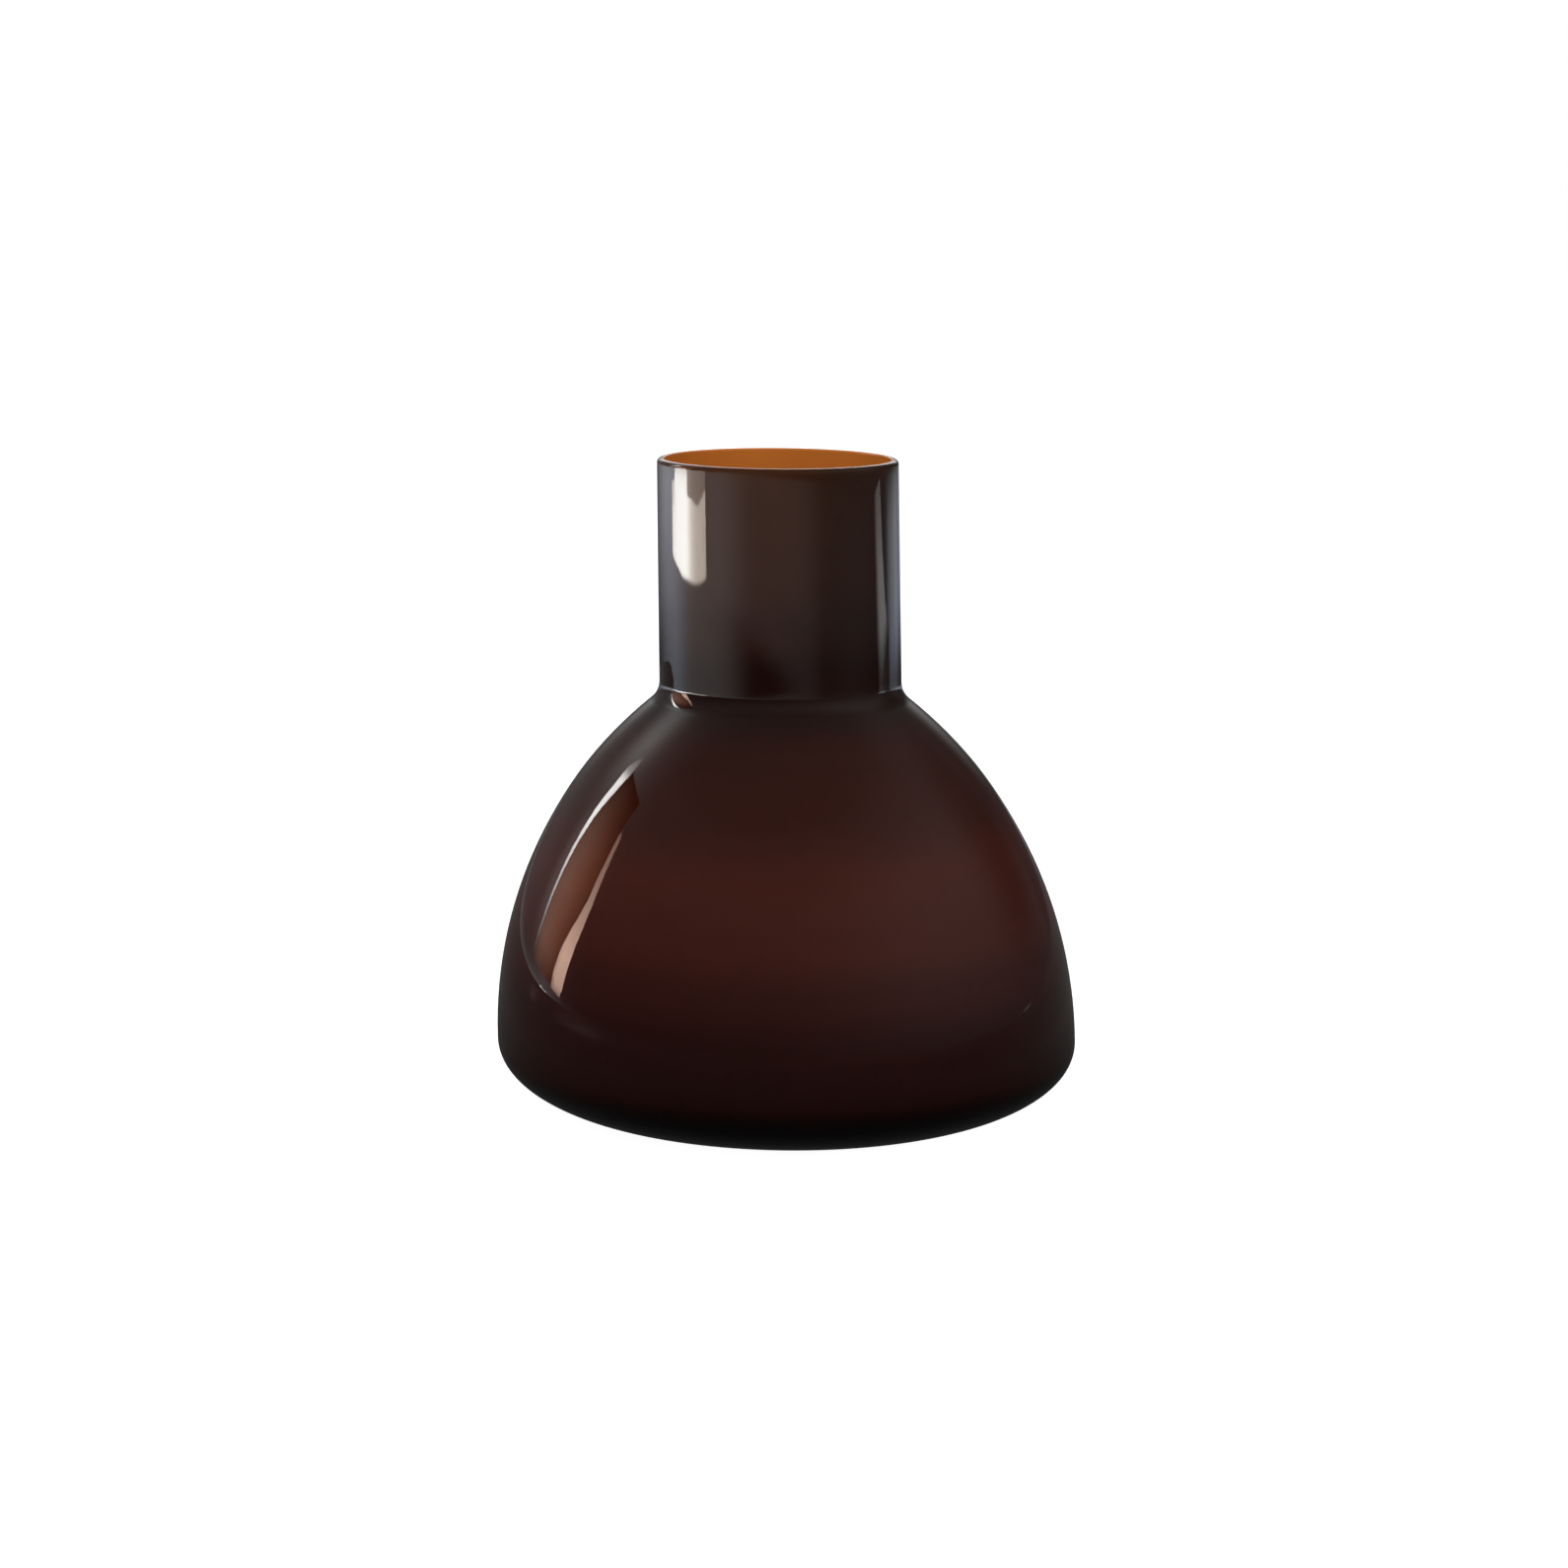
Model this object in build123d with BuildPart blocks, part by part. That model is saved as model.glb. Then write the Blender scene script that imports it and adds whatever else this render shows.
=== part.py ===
from build123d import *
import os
from math import sqrt

# Cased glass vase: a neutral smoke casing blown over a thin amber lining.
# Millimetres, +Z up, origin at the centre of the base, which stands on z = 0.

# Envelope
height = 178.0
max_radius = 80.0
widest_height = 17.0      # height of the largest radius above the base
base_radius = 53.0        # flat that the vase stands on
shoulder_radius = 122.0   # arc from the widest point up to the neck
neck_radius = 32.5
neck_fillet = 7.0         # concave blend between shoulder and neck

# Glass thickness
wall = 2.0                # both layers together
lining_wall = 0.7
floor = 7.0               # both layers together
lining_floor = 1.2
casing_rim_round = 1.2    # outer edge of the mouth
lining_rim_round = 0.6    # inner edge of the mouth

casing_wall = wall - lining_wall
casing_floor = floor - lining_floor


def half_section(inset, bottom, mode=Mode.ADD):
    """Half of the vase's outline, offset inwards by inset, with its floor at bottom."""
    # The shoulder arc and the neck fillet touch on the line between their centres.
    shoulder_center = Vector(max_radius - shoulder_radius, widest_height)
    fillet_center_x = neck_radius + neck_fillet
    run = fillet_center_x - shoulder_center.X
    rise = sqrt((shoulder_radius + neck_fillet) ** 2 - run ** 2)
    fillet_center = Vector(fillet_center_x, widest_height + rise)
    towards_neck = (fillet_center - shoulder_center).normalized()

    radius = shoulder_radius - inset
    neck_x = neck_radius - inset
    widest = Vector(max_radius - inset, widest_height)
    shoulder_end = shoulder_center + towards_neck * radius
    neck_foot = Vector(neck_x, fillet_center.Y)

    with BuildLine() as outline:
        Line((0, bottom), (base_radius, bottom))
        EllipticalCenterArc(
            (base_radius, widest_height),
            max_radius - base_radius - inset,
            widest_height - bottom,
            start_angle=270,
            arc_size=90,
        )
        RadiusArc(widest, shoulder_end, -radius)
        RadiusArc(shoulder_end, neck_foot, neck_fillet + inset)
        Polyline(neck_foot, (neck_x, height), (0, height), (0, bottom))
    make_face(outline.edges(), mode=mode)


# Outer layer: the whole outside, the outer half of the rim and most of the base
with BuildPart() as smoke_glass_casing:
    with BuildSketch(Plane.XZ):
        half_section(inset=0, bottom=0)
        half_section(inset=casing_wall, bottom=casing_floor, mode=Mode.SUBTRACT)
    revolve(axis=Axis.Z)
    rim_edges = smoke_glass_casing.edges().filter_by(GeomType.CIRCLE).group_by(Axis.Z)[-1]
    fillet(rim_edges.sort_by(SortBy.RADIUS)[-1], radius=casing_rim_round)
smoke_glass_casing.part.label = "smoke_glass_casing"

# Inner layer: the whole inside surface and the inner half of the rim
with BuildPart() as amber_glass_lining:
    with BuildSketch(Plane.XZ):
        half_section(inset=casing_wall, bottom=casing_floor)
        half_section(inset=wall, bottom=floor, mode=Mode.SUBTRACT)
    revolve(axis=Axis.Z)
    rim_edges = amber_glass_lining.edges().filter_by(GeomType.CIRCLE).group_by(Axis.Z)[-1]
    fillet(rim_edges.sort_by(SortBy.RADIUS)[0], radius=lining_rim_round)
amber_glass_lining.part.label = "amber_glass_lining"

os.makedirs("parts", exist_ok=True)
export_step(smoke_glass_casing.part, "parts/smoke_glass_casing.step")
export_step(amber_glass_lining.part, "parts/amber_glass_lining.step")
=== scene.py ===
"""Looks for a cased glass vase: smoke glass blown over an amber lining.

Metres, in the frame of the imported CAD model: +Z up, the origin at the centre of the base.
The camera looks along +Y from the front, a little from above.

Glass is mostly what it reflects, so most of the script is the studio: a window on the left and
a soft light on the right, made of cards that only reflections meet, in a dim room.
"""

import math

import bpy
from mathutils import Matrix, Vector


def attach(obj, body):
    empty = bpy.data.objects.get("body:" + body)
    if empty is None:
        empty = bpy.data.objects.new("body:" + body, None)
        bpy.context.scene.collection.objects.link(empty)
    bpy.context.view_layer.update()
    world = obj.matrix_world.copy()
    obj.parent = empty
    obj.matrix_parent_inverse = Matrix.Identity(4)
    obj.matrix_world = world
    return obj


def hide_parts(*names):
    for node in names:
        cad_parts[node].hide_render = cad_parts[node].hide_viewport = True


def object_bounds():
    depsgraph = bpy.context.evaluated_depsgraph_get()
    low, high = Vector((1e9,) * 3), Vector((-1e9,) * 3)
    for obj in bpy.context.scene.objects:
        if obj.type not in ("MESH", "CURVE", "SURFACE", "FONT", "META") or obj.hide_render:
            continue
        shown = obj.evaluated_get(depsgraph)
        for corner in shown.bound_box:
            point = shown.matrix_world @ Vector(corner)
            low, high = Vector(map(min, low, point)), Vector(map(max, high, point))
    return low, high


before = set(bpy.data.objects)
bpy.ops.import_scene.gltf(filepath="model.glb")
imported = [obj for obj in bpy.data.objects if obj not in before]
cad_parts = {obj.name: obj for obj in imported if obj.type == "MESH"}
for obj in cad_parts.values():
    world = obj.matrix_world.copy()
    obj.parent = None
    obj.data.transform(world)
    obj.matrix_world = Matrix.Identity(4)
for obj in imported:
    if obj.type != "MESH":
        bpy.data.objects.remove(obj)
cad_low, cad_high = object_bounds()

# ---------------------------------------------------------------- sizes, in metres
HEIGHT = cad_high.z
MAX_RADIUS = cad_high.x
WIDEST_HEIGHT = 0.017
BASE_RADIUS = 0.053
SHOULDER_RADIUS = 0.122
NECK_RADIUS = 0.0325
NECK_FILLET = 0.007
WALL = 0.002
LINING_WALL = 0.0007
FLOOR = 0.007
LINING_FLOOR = 0.0012
CASING_WALL = WALL - LINING_WALL
CASING_FLOOR = FLOOR - LINING_FLOOR
CASING_RIM_ROUND = 0.0012
LINING_RIM_ROUND = 0.0005
LINING_RIM_OUTER_ROUND = 0.0003
# The lining reaches this far into the casing, so no air is left between the two glasses.
CONTACT = 0.0001

# Freehand shape: the axis wanders to the left as it rises, and the neck tapers a little.
LEAN = (-0.005747, 0.002244, -0.000733)  # sideways, for height share t, t squared and t cubed
NECK_FLARE = 0.0002  # wider by this at the neck's foot, narrower by this at the mouth
FLARE_START = 0.095
NECK_FOOT = 0.117
FULLNESS = 0.0006  # the blown wall stands out this much from the drawn outline
SHOULDER_SWELL = (0.0003, 0.095, 0.012)  # extra radius, height and half width of a soft swelling
FOOT_TUCK = (-0.0011, 0.007)  # extra radius at the base, and the height where it has eased out

SEGMENTS = 240  # around the axis; more would be thinned in the exported meshes
ARC_STEP = math.radians(1.8)
BASE_STEP = 0.006
NECK_STEP = 0.002
SAME_POINT = 1e-7


# ---------------------------------------------------------------- geometry
def arc(centre, radii, start, end):
    """Points on an ellipse's arc in the (radius, height) plane, in degrees, both ends in."""
    a, b = math.radians(start), math.radians(end)
    steps = max(4, math.ceil(abs(b - a) / ARC_STEP))
    angles = [a + (b - a) * i / steps for i in range(steps + 1)]
    return [(centre[0] + radii[0] * math.cos(t), centre[1] + radii[1] * math.sin(t)) for t in angles]


def run(start, end, step):
    """Points from start to end at about this spacing, both ends in."""
    count = max(1, math.ceil(math.dist(start, end) / step))
    return [
        (start[0] + (end[0] - start[0]) * i / count, start[1] + (end[1] - start[1]) * i / count)
        for i in range(count + 1)
    ]


def half_outline(inset, bottom, top):
    """The vase's outline offset inwards by inset, from the axis at bottom up the neck to top."""
    shoulder = Vector((MAX_RADIUS - SHOULDER_RADIUS, WIDEST_HEIGHT))
    fillet_x = NECK_RADIUS + NECK_FILLET
    rise = math.sqrt((SHOULDER_RADIUS + NECK_FILLET) ** 2 - (fillet_x - shoulder.x) ** 2)
    fillet = Vector((fillet_x, WIDEST_HEIGHT + rise))
    turn = math.degrees(math.atan2(fillet.y - shoulder.y, fillet.x - shoulder.x))
    corner = (MAX_RADIUS - BASE_RADIUS - inset, WIDEST_HEIGHT - bottom)
    radius = SHOULDER_RADIUS - inset
    blend = NECK_FILLET + inset
    points = run((0.0, bottom), (BASE_RADIUS, bottom), BASE_STEP)
    points += arc((BASE_RADIUS, WIDEST_HEIGHT), corner, 270, 360)[1:]
    points += arc(shoulder, (radius, radius), 0, turn)[1:]
    points += arc(fillet, (blend, blend), 180 + turn, 180)[1:]
    points += run((NECK_RADIUS - inset, fillet.y), (NECK_RADIUS - inset, top), NECK_STEP)[1:]
    return points


def shaped(radius, height):
    """The blown radius for a drawn one, and the axis's sideways shift, at this height."""
    t = height / HEIGHT
    shift = LEAN[0] * t + LEAN[1] * t**2 + LEAN[2] * t**3
    swell, middle, half = SHOULDER_SWELL
    fuller = FULLNESS + swell * math.exp(-(((height - middle) / half) ** 2))
    fuller += FOOT_TUCK[0] * math.exp(-((height / FOOT_TUCK[1]) ** 2))
    radius += fuller * min(1, radius / NECK_RADIUS)
    if height > NECK_FOOT:
        along = (height - NECK_FOOT) / (HEIGHT - NECK_FOOT)
        radius += NECK_FLARE * (1 - 2 * along)
    elif height > FLARE_START:
        along = (height - FLARE_START) / (NECK_FOOT - FLARE_START)
        eased = along * along * (3 - 2 * along)
        radius += NECK_FLARE * eased * min(1, radius / NECK_RADIUS)
    return radius, shift


def turned(name, profile, materials, inside_from=None):
    """A closed mesh turned from a profile that starts and ends on the axis.

    Faces from the profile's point number inside_from on take the last material.
    """
    if inside_from is None:
        inside_from = len(profile)
    vertices, faces, slots = [], [], []
    rings = []
    for radius, height in profile:
        if radius == 0:
            _, shift = shaped(0, height)
            rings.append([len(vertices)] * SEGMENTS)
            vertices.append((shift, 0, height))
            continue
        wide, shift = shaped(radius, height)
        first = len(vertices)
        rings.append(list(range(first, first + SEGMENTS)))
        for i in range(SEGMENTS):
            angle = 2 * math.pi * i / SEGMENTS
            vertices.append((shift + wide * math.cos(angle), wide * math.sin(angle), height))
    for k in range(len(rings) - 1):
        low, high = rings[k], rings[k + 1]
        for i in range(SEGMENTS):
            j = (i + 1) % SEGMENTS
            corners = [low[i], low[j], high[j], high[i]]
            if low[0] == low[1]:
                corners = [low[0], high[j], high[i]]
            if high[0] == high[1]:
                corners = [low[i], low[j], high[0]]
            faces.append(corners)
            slots.append(len(materials) - 1 if k >= inside_from else 0)
    mesh = bpy.data.meshes.new(name)
    mesh.from_pydata(vertices, [], faces)
    for material in materials:
        mesh.materials.append(material)
    mesh.polygons.foreach_set("use_smooth", [True] * len(faces))
    mesh.polygons.foreach_set("material_index", slots)
    mesh.update()
    piece = bpy.data.objects.new(name, mesh)
    bpy.context.scene.collection.objects.link(piece)
    return piece


# ---------------------------------------------------------------- shader helpers
def fresh(tree):
    """Empties a node tree and returns it."""
    tree.nodes.clear()
    return tree


def value(tree, operation, *inputs):
    """A Math node's result; inputs are numbers or sockets."""
    node = tree.nodes.new("ShaderNodeMath")
    node.operation = operation
    for socket, given in zip(node.inputs, inputs):
        if isinstance(given, (int, float)):
            socket.default_value = given
        else:
            tree.links.new(given, socket)
    return node.outputs[0]


def ramp(tree, factor, stops, smooth=True):
    """A Color Ramp's colour through stops of (position, colour or grey), eased if smooth."""
    node = tree.nodes.new("ShaderNodeValToRGB")
    node.color_ramp.interpolation = "EASE" if smooth else "LINEAR"
    elements = node.color_ramp.elements
    while len(elements) < len(stops):
        elements.new(0.5)
    for element, (position, colour) in zip(elements, stops):
        element.position = position
        grey = isinstance(colour, (int, float))
        element.color = (colour,) * 3 + (1,) if grey else (*colour, 1)
    tree.links.new(factor, node.inputs[0])
    return node.outputs[0]


def mixed(tree, blend, factor, first, second):
    """A colour Mix node's result."""
    node = tree.nodes.new("ShaderNodeMix")
    node.data_type = "RGBA"
    node.blend_type = blend
    for socket, given in zip((node.inputs[0], node.inputs[6], node.inputs[7]), (factor, first, second)):
        if isinstance(given, (int, float)):
            socket.default_value = given
        elif isinstance(given, tuple):
            socket.default_value = (*given, 1)
        else:
            tree.links.new(given, socket)
    return node.outputs[2]


def noise(tree, vector, scale, stretch=(1, 1, 1), detail=2.0):
    """Noise from 0 to 1; a factor in stretch under 1 draws it out along that axis."""
    mapping = tree.nodes.new("ShaderNodeMapping")
    mapping.inputs["Scale"].default_value = stretch
    tree.links.new(vector, mapping.inputs["Vector"])
    node = tree.nodes.new("ShaderNodeTexNoise")
    node.inputs["Scale"].default_value = scale
    node.inputs["Detail"].default_value = detail
    tree.links.new(mapping.outputs[0], node.inputs["Vector"])
    return node.outputs["Fac"]


def principled(name):
    """A new material with a Principled shader wired to its output."""
    material = bpy.data.materials.new(name)
    material.use_nodes = True
    tree = fresh(material.node_tree)
    shader = tree.nodes.new("ShaderNodeBsdfPrincipled")
    output = tree.nodes.new("ShaderNodeOutputMaterial")
    tree.links.new(shader.outputs[0], output.inputs["Surface"])
    place = tree.nodes.new("ShaderNodeTexCoord").outputs["Object"]
    return material, tree, shader, output, place


def bump(tree, height, strength, distance):
    """A Bump node's normal."""
    node = tree.nodes.new("ShaderNodeBump")
    node.inputs["Strength"].default_value = strength
    node.inputs["Distance"].default_value = distance
    tree.links.new(height, node.inputs["Height"])
    return node.outputs[0]


# ---------------------------------------------------------------- glass
GLASS_IOR = 1.5
SMOKE_COLOUR = (0.12, 0.1, 0.1, 1)
SMOKE_DENSITY = 500  # per metre: 1.3 mm of casing takes away a little under half of the light


def smoke_glass():
    """Clear grey glass whose colour comes from its thickness, with a faint hand-blown ripple."""
    material, tree, shader, output, place = principled("smoke_glass")
    ripple = noise(tree, place, scale=26, stretch=(1, 1, 0.45), detail=1)
    haze = noise(tree, place, scale=60, detail=3)
    shader.inputs["Transmission Weight"].default_value = 1
    shader.inputs["IOR"].default_value = GLASS_IOR
    tint = ramp(tree, haze, ((0.3, (0.96, 0.96, 0.97)), (0.7, (1, 0.99, 0.98))))
    tree.links.new(tint, shader.inputs["Base Color"])
    rough = ramp(tree, haze, ((0.35, 0.0), (0.8, 0.03)))
    tree.links.new(rough, shader.inputs["Roughness"])
    tree.links.new(bump(tree, ripple, strength=0.25, distance=0.0006), shader.inputs["Normal"])
    depth = tree.nodes.new("ShaderNodeVolumeAbsorption")
    depth.inputs["Color"].default_value = SMOKE_COLOUR
    depth.inputs["Density"].default_value = SMOKE_DENSITY
    tree.links.new(depth.outputs[0], output.inputs["Volume"])
    return material


def split(tree, vector):
    """A vector's X, Y and Z."""
    node = tree.nodes.new("ShaderNodeSeparateXYZ")
    tree.links.new(vector, node.inputs[0])
    return node.outputs


def amber_and_painted_light(tree, place):
    """Amber, darker at the neck's foot and in the thick base: partly the thicker glass, partly painted
    shade.

    It is brighter around the middle of the body as painted light, and has faint turning lines. On the
    neck it also carries painted shade that darkens it towards the right.
    """
    x, _, z = split(tree, place)
    share = value(tree, "DIVIDE", z, HEIGHT)
    # By height: partly the thicker glass at the neck's foot and in the base, partly painted shade there
    # and painted light around the middle of the body.
    along = ramp(
        tree,
        share,
        (
            (0.0, (0.14, 0.020, 0.007)),
            (0.08, (0.16, 0.021, 0.008)),
            (0.18, (0.23, 0.030, 0.010)),
            (0.25, (0.39, 0.045, 0.015)),
            (0.32, (0.64, 0.074, 0.021)),
            (0.40, (0.72, 0.095, 0.028)),
            (0.50, (0.45, 0.072, 0.024)),
            (0.57, (0.38, 0.066, 0.022)),
            (0.63, (0.18, 0.034, 0.013)),
            (0.69, (0.18, 0.030, 0.013)),
            (0.75, (0.37, 0.075, 0.019)),
            (0.86, (0.62, 0.148, 0.022)),
            (1.0, (0.70, 0.18, 0.026)),
        ),
    )
    lines = noise(tree, place, scale=8, stretch=(1, 1, 14))
    shade = ramp(tree, lines, ((0.3, 0.94), (0.7, 1.0)))
    # Painted shade: on the neck the amber darkens towards the right (+X).
    side = value(tree, "MULTIPLY_ADD", x, 0.5 / NECK_RADIUS, 0.5)
    painted_shade_by_side = ramp(tree, side, ((0.0, 1.0), (0.4, 0.95), (0.71, 0.45), (1.0, 0.4)))
    on_neck = ramp(tree, share, ((0.66, 0.0), (0.74, 1.0)))
    painted_neck_side_shade = mixed(tree, "MIX", on_neck, (1, 1, 1), painted_shade_by_side)
    return mixed(tree, "MULTIPLY", 1.0, mixed(tree, "MULTIPLY", 1.0, along, shade), painted_neck_side_shade)


def amber_under_glass():
    """The lining's outer face, fused to the casing: it has no gloss of its own."""
    material, tree, shader, _, place = principled("amber_glass_fused")
    tree.links.new(amber_and_painted_light(tree, place), shader.inputs["Base Color"])
    shader.inputs["Roughness"].default_value = 1
    shader.inputs["Specular IOR Level"].default_value = 0
    return material


def amber_inside():
    """The lining's free face, inside the vase and over the rim."""
    material, tree, shader, _, place = principled("amber_glass")
    share = value(tree, "DIVIDE", split(tree, place)[2], HEIGHT)
    # Darker towards the bottom: painted shade deep inside the vase.
    along = ramp(
        tree,
        share,
        ((0.0, (0.22, 0.03, 0.006)), (0.6, (0.45, 0.09, 0.012)), (1.0, (0.80, 0.255, 0.042))),
    )
    waves = noise(tree, place, scale=40, stretch=(1, 1, 0.3))
    shade = ramp(tree, waves, ((0.3, 0.88), (0.7, 1.0)))
    tree.links.new(mixed(tree, "MULTIPLY", 1.0, along, shade), shader.inputs["Base Color"])
    tree.links.new(ramp(tree, waves, ((0.3, 0.08), (0.8, 0.16))), shader.inputs["Roughness"])
    tree.links.new(bump(tree, waves, strength=0.2, distance=0.0004), shader.inputs["Normal"])
    shader.inputs["IOR"].default_value = GLASS_IOR
    return material


def build_vase():
    """The two glass layers, each a closed turned solid."""
    outside = half_outline(0, 0, HEIGHT - CASING_RIM_ROUND)
    rim_centre = (NECK_RADIUS - CASING_RIM_ROUND, HEIGHT - CASING_RIM_ROUND)
    rim = arc(rim_centre, (CASING_RIM_ROUND,) * 2, 0, 90)[1:]
    inside = half_outline(CASING_WALL, CASING_FLOOR, HEIGHT)[::-1]
    casing_profile = outside + rim + [p for p in inside if math.dist(p, rim[-1]) > SAME_POINT]
    casing = turned("smoke_glass_body", casing_profile, [smoke_glass()])

    inset = CASING_WALL - CONTACT
    edge = NECK_RADIUS - inset - LINING_RIM_OUTER_ROUND
    outer_top = HEIGHT - LINING_RIM_OUTER_ROUND
    contact = half_outline(inset, CASING_FLOOR - CONTACT, outer_top)
    lip = arc((edge, outer_top), (LINING_RIM_OUTER_ROUND,) * 2, 0, 90)[1:]
    inner_top = HEIGHT - LINING_RIM_ROUND
    inner_radius = NECK_RADIUS - WALL
    lip += arc((edge, inner_top), (edge - inner_radius, LINING_RIM_ROUND), 90, 180)[1:]
    free = half_outline(WALL, FLOOR, inner_top)[::-1][1:]
    materials = [amber_under_glass(), amber_inside()]
    lining = turned("amber_glass_lining_wall", contact + lip + free, materials, len(contact) - 1)
    return casing, lining


casing, lining = build_vase()
for piece, node, slot in (
    (casing, "smoke_glass_casing", "smoke_glass"),
    (lining, "amber_glass_lining", "amber_glass"),
):
    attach(piece, "root")
    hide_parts(node)


# ---------------------------------------------------------------- studio
def only_seen_by(item, camera=False, diffuse=False, glossy=False):
    """Which rays meet a stage object; rays that pass through glass never do."""
    item.visible_camera = camera
    item.visible_diffuse = diffuse
    item.visible_glossy = glossy
    item.visible_transmission = False
    item.visible_volume_scatter = False
    item.visible_shadow = False


def stage_mesh(name, vertices, faces, material, uvs=None):
    """A stage object made of plain faces, with a UV per vertex where its light needs one."""
    mesh = bpy.data.meshes.new(name)
    mesh.from_pydata(vertices, [], faces)
    mesh.materials.append(material)
    if uvs:
        layer = mesh.uv_layers.new(name="light")
        for loop in mesh.loops:
            layer.data[loop.index].uv = uvs[loop.vertex_index]
    item = bpy.data.objects.new(name, mesh)
    bpy.context.scene.collection.objects.link(item)
    return item


def glow(name, across, along, strength):
    """An emission that changes across (U) and along (V) a light card."""
    material = bpy.data.materials.new(name)
    material.use_nodes = True
    tree = fresh(material.node_tree)
    u, v, _ = split(tree, tree.nodes.new("ShaderNodeTexCoord").outputs["UV"])
    colour = mixed(tree, "MULTIPLY", 1.0, ramp(tree, u, across, False), ramp(tree, v, along, False))
    lamp = tree.nodes.new("ShaderNodeEmission")
    tree.links.new(colour, lamp.inputs[0])
    lamp.inputs[1].default_value = strength
    output = tree.nodes.new("ShaderNodeOutputMaterial")
    tree.links.new(lamp.outputs[0], output.inputs["Surface"])
    return material


def light_card(name, x, rails, across, along, strength):
    """A card on the plane at this x, seen only as a reflection.

    rails are (y, z, y, z), the two ends of each line across the card; across and along are stops
    of light.
    """
    middles = [((a + c) / 2, (b + d) / 2) for a, b, c, d in rails]
    whole = math.dist(middles[0], middles[-1])
    vertices, uvs = [], []
    for (a, b, c, d), middle in zip(rails, middles):
        vertices += [(x, a, b), (x, c, d)]
        v = min(1, math.dist(middles[0], middle) / whole)
        uvs += [(0, v), (1, v)]
    faces = [(2 * i, 2 * i + 1, 2 * i + 3, 2 * i + 2) for i in range(len(rails) - 1)]
    item = stage_mesh(name, vertices, faces, glow(name, across, along, strength), uvs)
    only_seen_by(item, glossy=True)


# The window is on the left and the side light on the right. Rails run from the low end up, or
# from the far end forwards, and each one is (y, z) at its far or low side and at its other side.
WINDOW_X = -5.0
SIDE_LIGHT_X = 5.0
WHITE = (1, 0.98, 0.96)
BEIGE = (0.95, 0.62, 0.48)

light_card(
    "window_far_jamb",
    WINDOW_X,
    rails=(
        (3.36, -0.10, 3.22, -0.10),
        (3.28, 0.45, 3.10, 0.45),
        (3.26, 1.1, 3.06, 1.1),
        (3.32, 1.8, 3.03, 1.8),
        (3.40, 2.4, 2.98, 2.4),
        (3.50, 3.1, 2.88, 3.1),
        (3.76, 3.75, 2.96, 3.9),
        (3.5, 4.4, 3.2, 4.5),
    ),
    across=((0, 0.5), (0.15, WHITE), (0.85, WHITE), (1, 0.5)),
    along=(
        (0, 0.02),
        (0.12, 0.15),
        (0.25, 0.45),
        (0.37, 0.65),
        (0.54, 1),
        (0.78, 1),
        (0.86, 0.3),
        (1, 0.1),
    ),
    strength=9.5,
)
light_card(
    "window_pane",
    WINDOW_X,
    rails=(
        (3.1, -0.1, 1.3, -0.1),
        (3.08, 0.7, 1.1, 0.7),
        (3.06, 1.2, 0.82, 1.2),
        (3.03, 2.0, 0.68, 2.0),
        (2.95, 4.0, 0.9, 4.0),
    ),
    across=(
        (0, (0.8, 0.5, 0.36)),
        (0.3, (1.12, 0.62, 0.46)),
        (0.65, (1.12, 0.5, 0.33)),
        (1, (0.62, 0.25, 0.15)),
    ),
    along=((0, 0.4), (0.1, 0.85), (0.35, 1), (0.55, 0.8), (0.75, 0.4), (1, 0.05)),
    strength=1.35,
)
light_card(
    "window_near_jamb",
    WINDOW_X,
    rails=(
        (1.42, -0.14, 0.87, -0.17),
        (1.44, 0.02, 0.76, -0.04),
        (1.34, 0.3, 0.66, 0.3),
        (1.15, 0.7, 0.52, 0.7),
        (0.84, 1.15, 0.40, 1.1),
        (0.66, 1.6, 0.34, 1.6),
        (0.68, 2.3, 0.42, 2.25),
        (0.80, 3.1, 0.58, 3.0),
    ),
    across=((0, BEIGE), (1, BEIGE)),
    along=((0, 0.3), (0.05, 0.8), (0.2, 1), (0.45, 0.75), (0.7, 0.5), (1, 0.3)),
    strength=8.5,
)
light_card(
    "window_low_bright",
    WINDOW_X,
    rails=(
        (2.95, -0.586, 2.95, -0.44),
        (2.75, -0.585, 2.75, -0.43),
        (2.5, -0.575, 2.4, -0.41),
        (2.2, -0.566, 2.2, -0.28),
        (1.6, -0.553, 1.6, -0.28),
        (1.2, -0.551, 1.2, -0.28),
        (0.85, -0.542, 0.85, -0.28),
        (0.5, -0.538, 0.5, -0.28),
    ),
    across=((0, 0.6), (0.03, 0.95), (0.08, 1), (0.6, 1), (0.8, 0.75), (1, 0.7)),
    along=(
        (0, (0.40, 0.39, 0.37)),
        (0.3, (0.62, 0.61, 0.58)),
        (0.6, (0.80, 0.79, 0.76)),
        (0.85, (0.94, 0.91, 0.87)),
        (1, (0.94, 0.91, 0.86)),
    ),
    strength=17,
)
light_card(
    "window_low_beige",
    WINDOW_X,
    rails=(
        (0.5, -0.538, 0.5, -0.385),
        (0, -0.537, 0, -0.385),
        (-0.7, -0.541, -0.7, -0.40),
        (-1.6, -0.550, -1.6, -0.385),
    ),
    across=((0, 0.6), (0.03, 0.95), (0.08, 1), (1, 1)),
    along=(
        (0, (1.0, 0.97, 0.92)),
        (0.25, (0.68, 0.62, 0.56)),
        (0.5, (0.55, 0.49, 0.43)),
        (1, (0.50, 0.44, 0.38)),
    ),
    strength=15.5,
)
light_card(
    "window_low_blind",
    WINDOW_X,
    rails=(
        (0.5, -0.385, 0.5, -0.28),
        (0, -0.385, 0, -0.28),
        (-0.7, -0.40, -0.7, -0.28),
        (-1.6, -0.385, -1.6, -0.28),
    ),
    across=((0, 1), (1, 1)),
    along=((0, (0.85, 0.76, 0.68)), (0.3, (0.58, 0.50, 0.45)), (1, (0.48, 0.40, 0.34))),
    strength=5.6,
)
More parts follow.
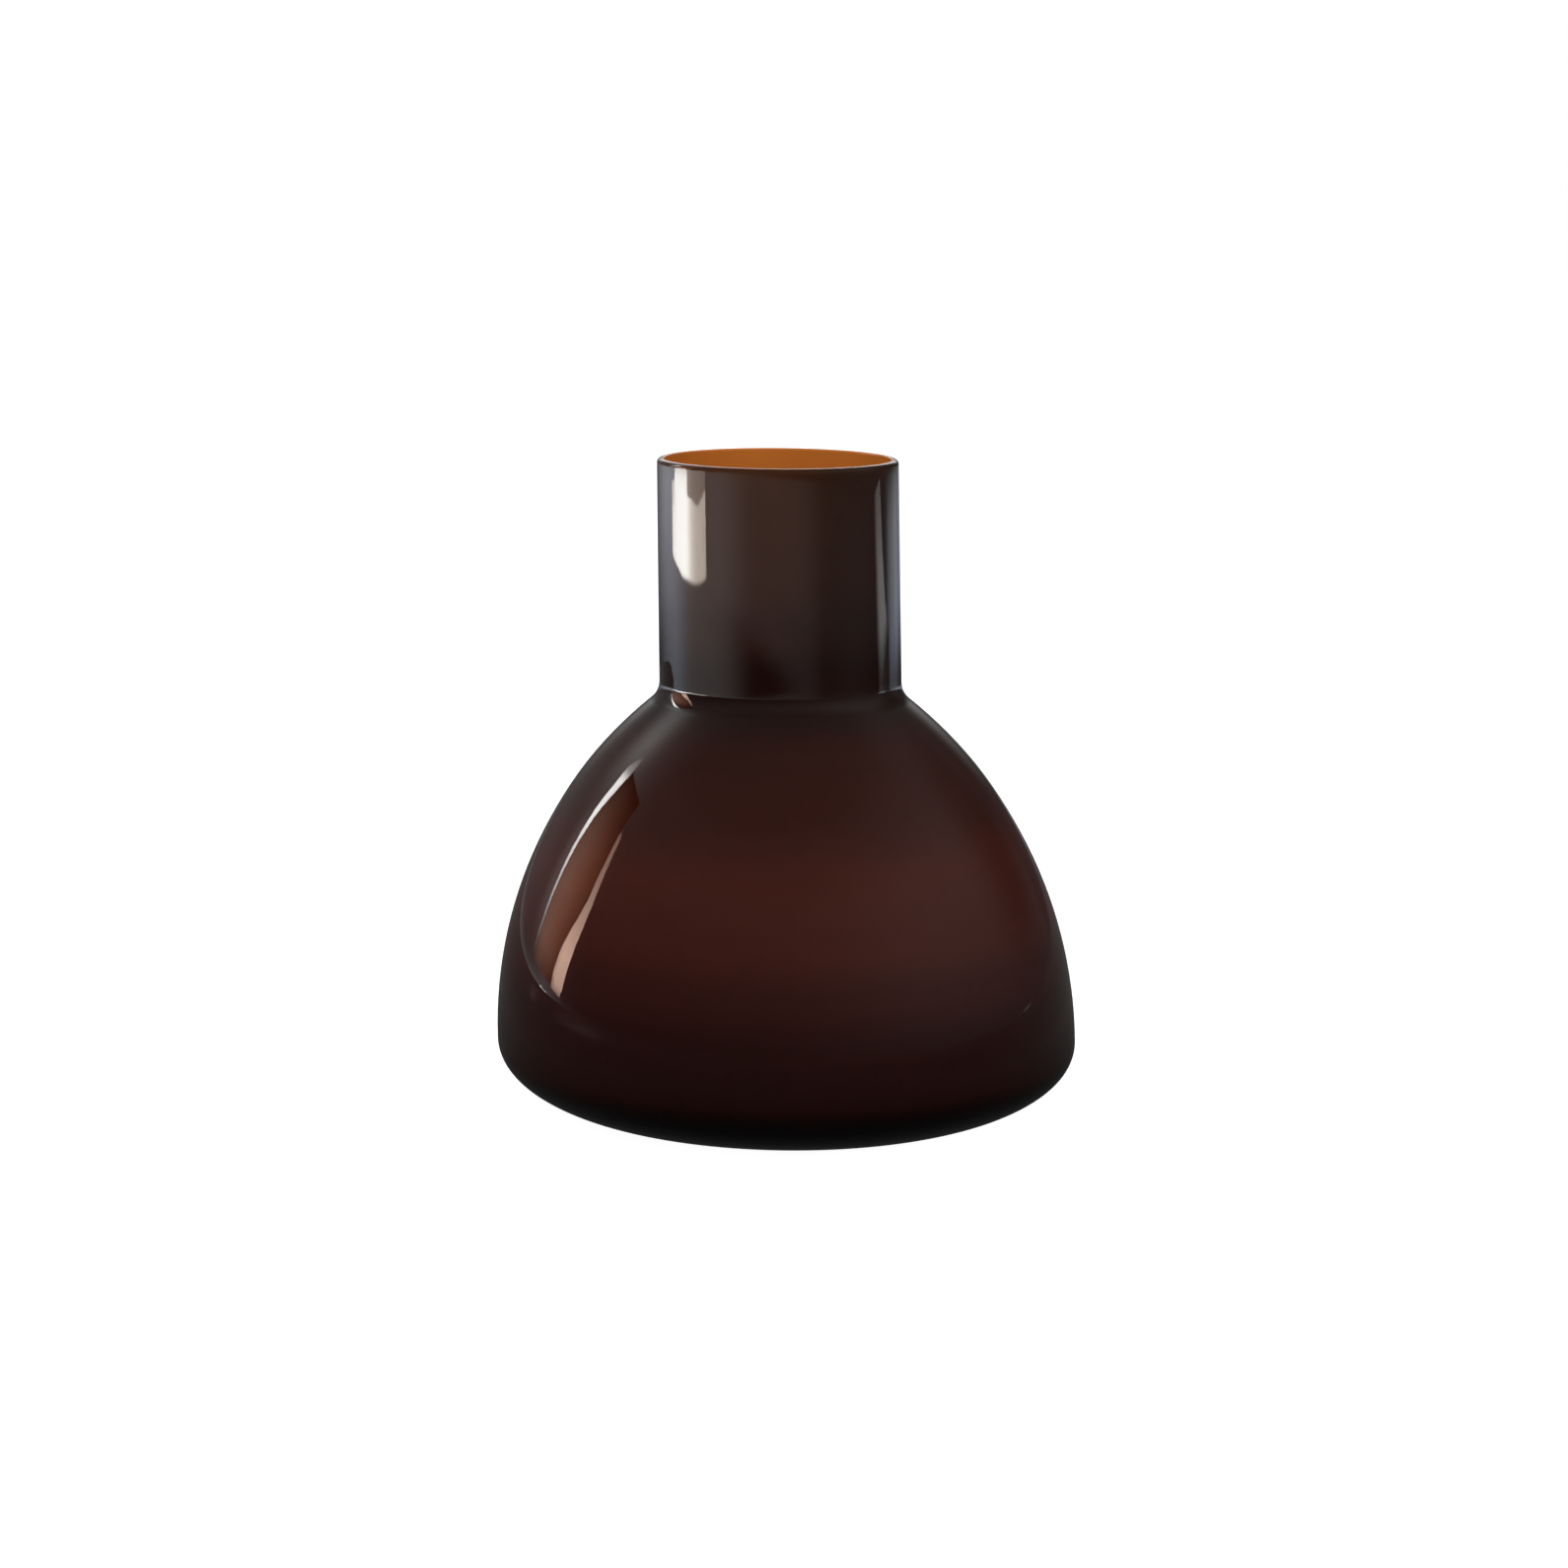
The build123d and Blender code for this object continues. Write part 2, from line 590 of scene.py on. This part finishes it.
light_card(
    "side_light",
    SIDE_LIGHT_X,
    rails=(
        (3.3, -0.71, 2.0, -0.68),
        (3.6, -0.65, 1.8, -0.63),
        (3.6, -0.58, 1.6, -0.56),
        (2.9, -0.47, 1.35, -0.45),
        (2.5, -0.35, 1.25, -0.33),
        (2.15, -0.21, 1.15, -0.21),
    ),
    across=((0, 0.3), (0.15, 0.9), (0.7, 1), (1, 0.2)),
    along=((0, 0), (0.12, 0.1), (0.25, 0.45), (0.42, 0.95), (0.7, 1), (1, 0.6)),
    strength=1.4,
)

TABLE_RADIUS = 0.82
TABLE_DROP = -0.002
TABLE_LIGHT = 0.1
TABLE_STEPS = 64
# The table's edge is nearer towards the window: by how much, in which azimuth, and how wide.
TABLE_CUT = 0.10
TABLE_CUT_AZIMUTH = -80
TABLE_CUT_HALF_WIDTH = 45


def build_table():
    """A dark table, met only by reflections; beyond its edge they meet the room."""
    points = [(0.0, 0.0, TABLE_DROP)]
    uvs = [(0, 0)]
    for i in range(TABLE_STEPS):
        angle = 2 * math.pi * i / TABLE_STEPS
        azimuth = math.degrees(math.atan2(math.cos(angle), -math.sin(angle)))
        cut = max(0, 1 - ((azimuth - TABLE_CUT_AZIMUTH) / TABLE_CUT_HALF_WIDTH) ** 6)
        edge = TABLE_RADIUS - TABLE_CUT * cut
        points.append((edge * math.cos(angle), edge * math.sin(angle), TABLE_DROP))
        uvs.append((1, 0))
    faces = [(0, 1 + i, 1 + (i + 1) % TABLE_STEPS) for i in range(TABLE_STEPS)]
    outwards = ((0.1, 0.3), (0.24, 0.8), (1, 1))
    light = glow("table_reflection", outwards, ((0, 1), (1, 1)), TABLE_LIGHT)
    table = stage_mesh("table_reflection", points, faces, light, uvs)
    only_seen_by(table, glossy=True)


build_table()


def glow_region(tree, azimuth, elevation, centre, half, power, amount):
    """Light around a direction: a soft round glow at power 2, a crisp-edged patch at power 6 or more."""
    turn = value(tree, "WRAP", value(tree, "SUBTRACT", azimuth, centre[0]), 180, -180)
    sides = []
    for offset, width in ((turn, half[0]), (value(tree, "SUBTRACT", elevation, centre[1]), half[1])):
        share = value(tree, "ABSOLUTE", value(tree, "DIVIDE", offset, width))
        sides.append(value(tree, "POWER", share, power))
    fall = value(tree, "EXPONENT", value(tree, "MULTIPLY", value(tree, "ADD", *sides), -1))
    return value(tree, "MULTIPLY", fall, amount)


# The room that reflections meet, by direction in degrees: azimuth 0 is towards the camera and
# grows to its right. Each glow is a centre, half widths, the edge's power and an amount of light.
ROOM_BY_ELEVATION = (
    (-90, 0.015),
    (-60, 0.02),
    (-40, 0.04),
    (-25, 0.04),
    (-8.5, 0.02),
    (-7.9, 0.085),
    (-2, 0.08),
    (3, 0.10),
    (10, 0.12),
    (20, 0.16),
    (35, 0.20),
    (50, 0.18),
    (60, 0.15),
    (90, 0.15),
)
ROOM_GLOWS = (
    # the right-hand side and the back wall
    ((72, 22), (46, 26), 2, 0.17),
    ((130, 22), (20, 18), 3, -0.12),
    ((158, 10), (12, 18), 4, -0.07),
    # around the window
    ((-131, 36), (11, 11), 2, 0.85),
    ((-140, 6), (22, 14), 2, 0.06),
    ((-122, 12), (7, 9), 4, 0.25),
    ((-113, 6), (12, 40), 2, 0.25),
    ((-108, 4), (7, 12), 4, 0.1),
    # just below the horizon, which is what the upright neck reflects
    ((-88, -7.2), (48, 3.0), 4, 0.8),
    ((-122, -5.9), (26, 1.9), 2, 1.1),
    ((-15, -6.0), (51, 1.9), 8, 0.22),
    ((138, -6.0), (13, 1.5), 4, 0.6),
    ((160, -6.0), (14, 1.5), 4, 0.32),
    ((20, -6.0), (75, 1.9), 8, 0.07),
    ((58, -7.9), (60, 1.3), 4, -0.12),
    # behind the vase, which the top of the rim reflects
    ((180, 24), (17, 16), 3, 2.2),
)
ROOM_LEAST = 0.05
COOL = (0.88, 1, 1.15)  # the light low down behind the vase, which the neck's sides reflect

# The studio light that colours the glass: an upper softbox, and one to each side.
SOFTBOX = ((0, 0.05), (0.45, 0.25), (0.6, 0.9), (1, 1))  # by elevation, from 0 down to 1 up
SIDE_SOFTBOXES = (
    ((42, 28), (45, 30), 2, 3.6),
    ((-60, -14), (45, 16), 2, 1.6),
)
THROUGH_GLASS = 0.26  # how strong it is on the amber, behind the smoke glass
ON_BARE_FACES = 0.26  # how strong it is on the amber inside the mouth


def background(tree, strength, colour=None):
    """A Background shader; strength is a number or a socket, and colour is a socket or white."""
    shader = tree.nodes.new("ShaderNodeBackground")
    shader.inputs["Color"].default_value = (1, 1, 1, 1)
    if colour is not None:
        tree.links.new(colour, shader.inputs["Color"])
    if isinstance(strength, float):
        shader.inputs["Strength"].default_value = strength
    else:
        tree.links.new(strength, shader.inputs["Strength"])
    return shader.outputs[0]


def build_world():
    """White to the camera, the dim room to reflections, and soft studio light to the amber.

    A ray that leaves the amber through the casing counts as glossy and as transmitted, so the
    transmitted light is mixed in after the room.
    """
    world = bpy.data.worlds.new("studio")
    bpy.context.scene.world = world
    world.use_nodes = True
    tree = fresh(world.node_tree)
    x, y, z = split(tree, tree.nodes.new("ShaderNodeTexCoord").outputs["Generated"])
    azimuth = value(tree, "DEGREES", value(tree, "ARCTAN2", x, value(tree, "MULTIPLY", y, -1)))
    elevation = value(tree, "DEGREES", value(tree, "ARCSINE", z))
    share = value(tree, "DIVIDE", value(tree, "ADD", elevation, 90), 180)

    stops = tuple(((angle + 90) / 180, grey) for angle, grey in ROOM_BY_ELEVATION)
    room = ramp(tree, share, stops, False)
    for centre, half, power, amount in ROOM_GLOWS:
        region = glow_region(tree, azimuth, elevation, centre, half, power, amount)
        room = value(tree, "ADD", room, region)
    room = value(tree, "MAXIMUM", room, ROOM_LEAST)
    low = ramp(tree, share, ((0.46, 1.0), (0.49, 0.0)))
    behind = ramp(tree, y, ((0.0, 0.0), (0.3, 1.0)))
    cool = value(tree, "MULTIPLY", low, behind)
    room_colour = mixed(tree, "MIX", cool, (1, 1, 1), COOL)

    soft = ramp(tree, share, SOFTBOX, False)
    for centre, half, power, amount in SIDE_SOFTBOXES:
        region = glow_region(tree, azimuth, elevation, centre, half, power, amount)
        soft = value(tree, "ADD", soft, region)
    through = value(tree, "MULTIPLY", soft, THROUGH_GLASS)
    bare = value(tree, "MULTIPLY", soft, ON_BARE_FACES)

    path = tree.nodes.new("ShaderNodeLightPath")
    result = background(tree, bare)
    for flag, shade in (
        ("Is Glossy Ray", background(tree, room, room_colour)),
        ("Is Transmission Ray", background(tree, through)),
        ("Is Camera Ray", background(tree, 1.0)),
    ):
        mix = tree.nodes.new("ShaderNodeMixShader")
        tree.links.new(path.outputs[flag], mix.inputs[0])
        tree.links.new(result, mix.inputs[1])
        tree.links.new(shade, mix.inputs[2])
        result = mix.outputs[0]
    output = tree.nodes.new("ShaderNodeOutputWorld")
    tree.links.new(result, output.inputs["Surface"])
    world.cycles.sampling_method = "NONE"


build_world()


FLOOR_HALF = 6.0
FLOOR_DROP = -0.0003
FLOOR_GLOW = 0.96  # bright enough to carry no visible shadow


def build_floor():
    """A pale floor just below the base, which only the camera sees."""
    material = bpy.data.materials.new("pale_floor")
    material.use_nodes = True
    tree = fresh(material.node_tree)
    shader = tree.nodes.new("ShaderNodeBsdfPrincipled")
    output = tree.nodes.new("ShaderNodeOutputMaterial")
    tree.links.new(shader.outputs[0], output.inputs["Surface"])
    place = tree.nodes.new("ShaderNodeTexCoord").outputs["Object"]
    grain = noise(tree, place, scale=300)
    tone = ramp(tree, grain, ((0.3, 0.80), (0.7, 0.82)))
    tree.links.new(tone, shader.inputs["Base Color"])
    shader.inputs["Roughness"].default_value = 1
    shader.inputs["Specular IOR Level"].default_value = 0
    shader.inputs["Emission Color"].default_value = (1, 1, 1, 1)
    shader.inputs["Emission Strength"].default_value = FLOOR_GLOW
    half, drop = FLOOR_HALF, FLOOR_DROP
    corners = [(-half, -half, drop), (half, -half, drop), (half, half, drop), (-half, half, drop)]
    item = stage_mesh("floor", corners, [(0, 1, 2, 3)], material)
    only_seen_by(item, camera=True)


build_floor()


def area_light(name, place, target, size, power):
    """A soft square light, met only by diffuse rays."""
    lamp = bpy.data.lights.new(name, "AREA")
    lamp.size = size
    lamp.energy = power
    item = bpy.data.objects.new(name, lamp)
    item.location = place
    item.rotation_euler = (Vector(target) - Vector(place)).to_track_quat("-Z", "Y").to_euler()
    only_seen_by(item, diffuse=True)
    bpy.context.scene.collection.objects.link(item)


MOUTH_LIGHT_PLACE = (-0.30, -0.25, 0.70)
MOUTH = (0, 0.02, HEIGHT)
MOUTH_LIGHT_SIZE = 0.4
MOUTH_LIGHT_POWER = 1.62
area_light("mouth_light", MOUTH_LIGHT_PLACE, MOUTH, MOUTH_LIGHT_SIZE, MOUTH_LIGHT_POWER)

# ---------------------------------------------------------------- camera
CAMERA_PLACE = (0, -0.966, 0.2651)
CAMERA_DOWN = math.radians(10.393)
CAMERA_LEFT = math.radians(0.107)
CAMERA_ROLL = math.radians(0.488)
camera_data = bpy.data.cameras.new("camera")
camera_data.lens = 81.56
camera_data.sensor_width = 36
camera = bpy.data.objects.new("camera", camera_data)
bpy.context.scene.collection.objects.link(camera)
camera.matrix_world = (
    Matrix.Translation(CAMERA_PLACE)
    @ Matrix.Rotation(CAMERA_LEFT, 4, "Z")
    @ Matrix.Rotation(math.pi / 2 - CAMERA_DOWN, 4, "X")
    @ Matrix.Rotation(CAMERA_ROLL, 4, "Z")
)
bpy.context.scene.camera = camera
bpy.context.scene.view_settings.view_transform = "Standard"
